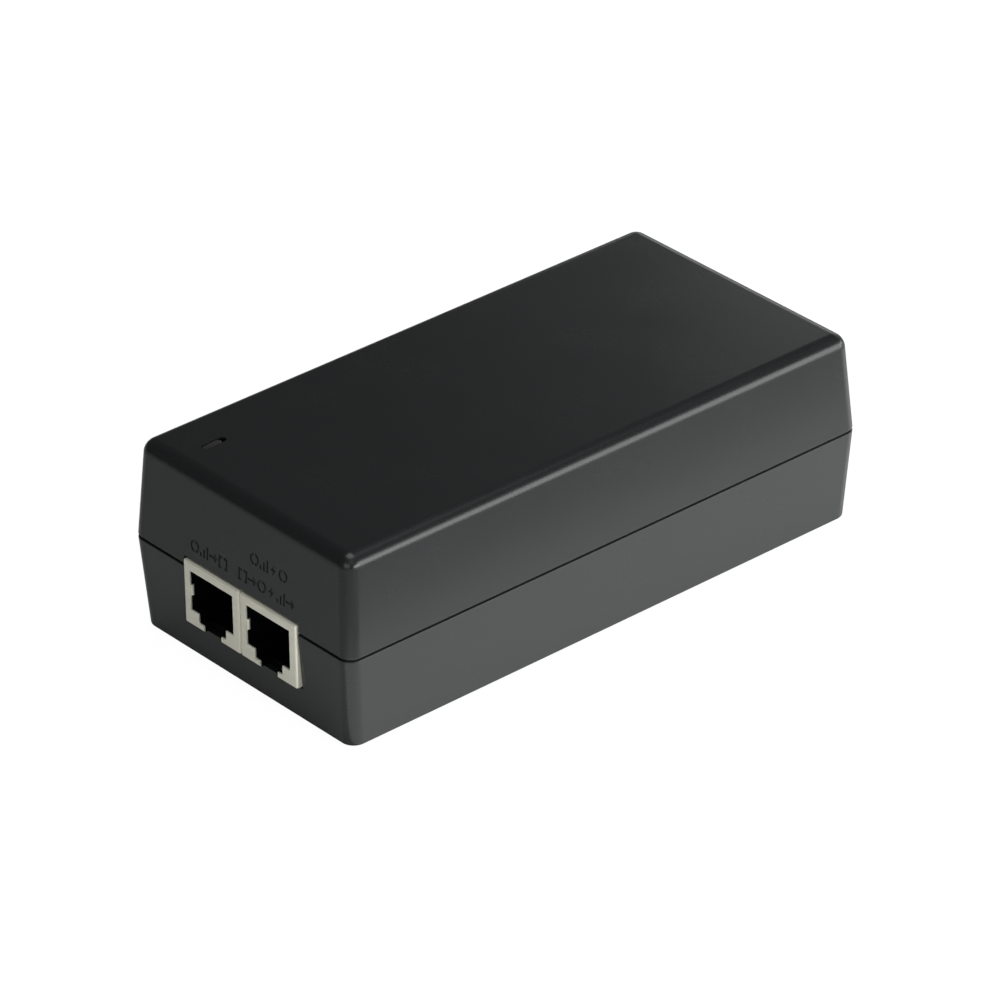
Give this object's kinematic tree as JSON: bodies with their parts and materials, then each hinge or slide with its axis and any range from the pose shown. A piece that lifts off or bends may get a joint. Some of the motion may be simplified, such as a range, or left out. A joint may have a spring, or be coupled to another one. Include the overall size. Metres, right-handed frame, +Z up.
{
  "type": "power over ethernet injector",
  "caption": "Flat black two-shell plastic injector that adds power to a network cable: shielded data sockets at one end, a mains inlet at the other, a status lamp on top.",
  "frame": {"origin": "on the table under the centre of the case, midway between the socket fronts and the inlet's rim", "axes": "+Z up, -Y the way the network sockets face, +Y the way the mains inlet faces, +X to the right when looking into the sockets"},
  "size_m": [0.06, 0.1222, 0.039],
  "materials": {
    "casing": "fine spark-eroded texture, soft sheen",
    "rubber": "matt",
    "label": "plain laminated label, satin",
    "screw_steel": "zinc plated",
    "smoked_lens": "clear moulded, unlit",
    "jack_shield": "tin-plated sheet, satin",
    "jack_plastic": "black, smooth",
    "contact_gold": "gold flash, polished",
    "inlet_plastic": "black, smooth",
    "pin_nickel": "nickel plated, satin",
    "board": "glass-epoxy board with green resist",
    "fish_paper": "pressed insulating sheet",
    "fuse_body": "moulded, brown",
    "thermistor_green": "lacquered ceramic disc",
    "film_yellow": "moulded film capacitor case",
    "choke_copper": "enamelled copper wire on a ferrite core",
    "epoxy_black": "moulded epoxy",
    "capacitor_sleeve": "shrunk sleeve on an aluminium can",
    "heatsink": "mill finish",
    "ferrite": "ground ferrite",
    "bobbin": "moulded",
    "winding_tape": "polyester tape over copper",
    "disc_blue": "lacquered ceramic disc"
  },
  "bodies": {
    "case": {"top_shell": "casing", "bottom_shell": "casing", "rating_label": "label", "case_screw_1": "screw_steel", "rubber_foot_1": "rubber", "case_screw_2": "screw_steel", "rubber_foot_2": "rubber", "case_screw_3": "screw_steel", "rubber_foot_3": "rubber", "case_screw_4": "screw_steel", "rubber_foot_4": "rubber", "light_pipe": "smoked_lens", "status_led": "smoked_lens", "data_in_shield": "jack_shield", "data_in_housing": "jack_plastic", "data_in_contact_carrier": "jack_plastic", "power_out_shield": "jack_shield", "power_out_housing": "jack_plastic", "power_out_contact_carrier": "jack_plastic", "inlet_body": "inlet_plastic", "inlet_line_pin": "pin_nickel", "inlet_neutral_pin": "pin_nickel", "inlet_earth_pin": "pin_nickel", "circuit_board": "board", "insulating_sheet": "fish_paper", "fuse": "fuse_body", "inrush_thermistor": "thermistor_green", "x_capacitor": "film_yellow", "common_mode_choke": "choke_copper", "output_choke": "choke_copper", "bridge_rectifier": "epoxy_black", "switching_transistor": "epoxy_black", "optocoupler": "epoxy_black", "output_diode": "epoxy_black", "data_transformer": "epoxy_black", "bulk_capacitor": "capacitor_sleeve", "output_capacitor_1": "capacitor_sleeve", "output_capacitor_2": "capacitor_sleeve", "primary_heatsink": "heatsink", "secondary_heatsink": "heatsink", "transformer_core": "ferrite", "transformer_bobbin": "bobbin", "transformer_winding": "winding_tape", "y_capacitor": "disc_blue"},
    "data_in_contacts": {"data_in_contact_1": "contact_gold", "data_in_contact_2": "contact_gold", "data_in_contact_3": "contact_gold", "data_in_contact_4": "contact_gold", "data_in_contact_5": "contact_gold", "data_in_contact_6": "contact_gold", "data_in_contact_7": "contact_gold", "data_in_contact_8": "contact_gold"},
    "power_out_contacts": {"power_out_contact_1": "contact_gold", "power_out_contact_2": "contact_gold", "power_out_contact_3": "contact_gold", "power_out_contact_4": "contact_gold", "power_out_contact_5": "contact_gold", "power_out_contact_6": "contact_gold", "power_out_contact_7": "contact_gold", "power_out_contact_8": "contact_gold"}
  },
  "joints": [
    {"name": "data_in_contacts_press", "type": "hinge", "parent": "case", "child": "data_in_contacts", "pos_m": [-0.00725, -0.05645, 0.0195], "axis": [1, 0, 0], "range_deg": [0, 14], "stiffness_Nm_per_rad": 0.26, "springref_deg": -2.86},
    {"name": "power_out_contacts_press", "type": "hinge", "parent": "case", "child": "power_out_contacts", "pos_m": [0.00835, -0.05645, 0.0195], "axis": [1, 0, 0], "range_deg": [0, 14], "stiffness_Nm_per_rad": 0.26, "springref_deg": -2.86}
  ]
}
